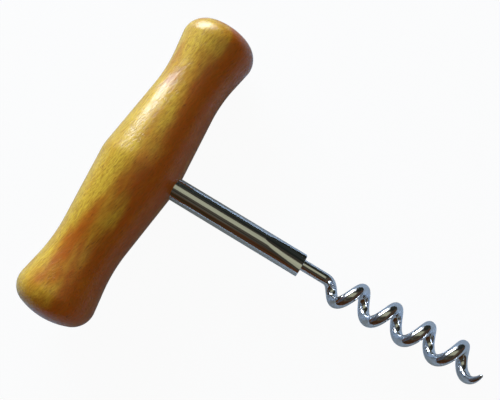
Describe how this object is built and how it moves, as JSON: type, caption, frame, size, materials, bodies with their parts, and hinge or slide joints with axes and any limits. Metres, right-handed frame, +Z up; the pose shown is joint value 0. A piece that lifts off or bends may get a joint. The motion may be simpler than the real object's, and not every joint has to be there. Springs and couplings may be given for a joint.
{
  "type": "corkscrew",
  "caption": "Plain corkscrew with a turned wooden cross handle, a chromed steel shank tube crimped at its end and a spiral wire worm, lying on its side.",
  "frame": {"origin": "middle of the bounding box's bottom face, on the ground that the corkscrew lies on", "axes": "+X runs along the ground from the handle towards the worm's point, with the shank pitched about 3.7 degrees down to it; +Y runs along the handle, with its +Y flare on the ground; +Z is up"},
  "size_m": [0.1266, 0.1012, 0.0251],
  "materials": {
    "wood": "gloss",
    "chrome": "polished",
    "steel": "satin"
  },
  "bodies": {
    "root": {"handle": "wood", "shank_tube": "chrome", "worm": "chrome", "retaining_pin": "steel"}
  },
  "joints": []
}
